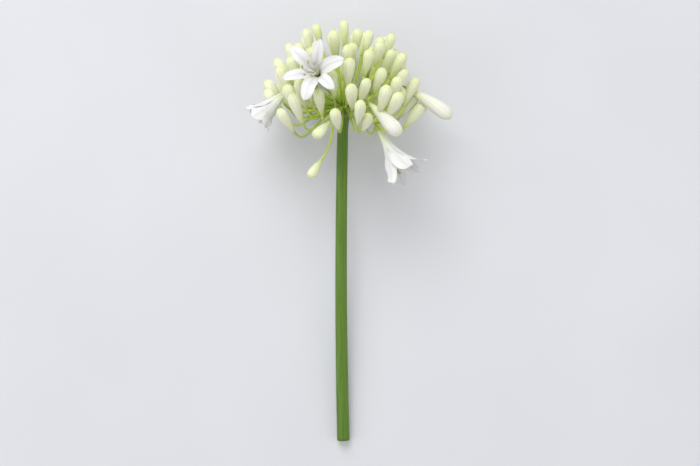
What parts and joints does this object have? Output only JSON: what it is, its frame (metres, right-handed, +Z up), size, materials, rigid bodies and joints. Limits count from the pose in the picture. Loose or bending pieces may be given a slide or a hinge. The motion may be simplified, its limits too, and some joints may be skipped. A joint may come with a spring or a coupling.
{
  "type": "agapanthus flower head",
  "caption": "White agapanthus umbel on a length of its green stem, mostly closed cream buds with a few open trumpet flowers, lying on its side.",
  "frame": {"origin": "on the surface that the flower lies on, in the middle of its outline seen from above", "axes": "+Y along the stem from the cut end to the flower head, +Z up from the surface"},
  "size_m": [0.171, 0.3526, 0.1193],
  "materials": {
    "scape": "smooth, slightly waxy green plant stem",
    "buds": "satin cream buds with a green tinge, on yellow-green stalks",
    "petals": "soft matt white petals"
  },
  "bodies": {
    "root": {"scape": "scape", "umbel": "buds", "star_bloom": "petals", "trumpet_bloom": "petals", "bell_bloom": "petals"}
  },
  "joints": []
}
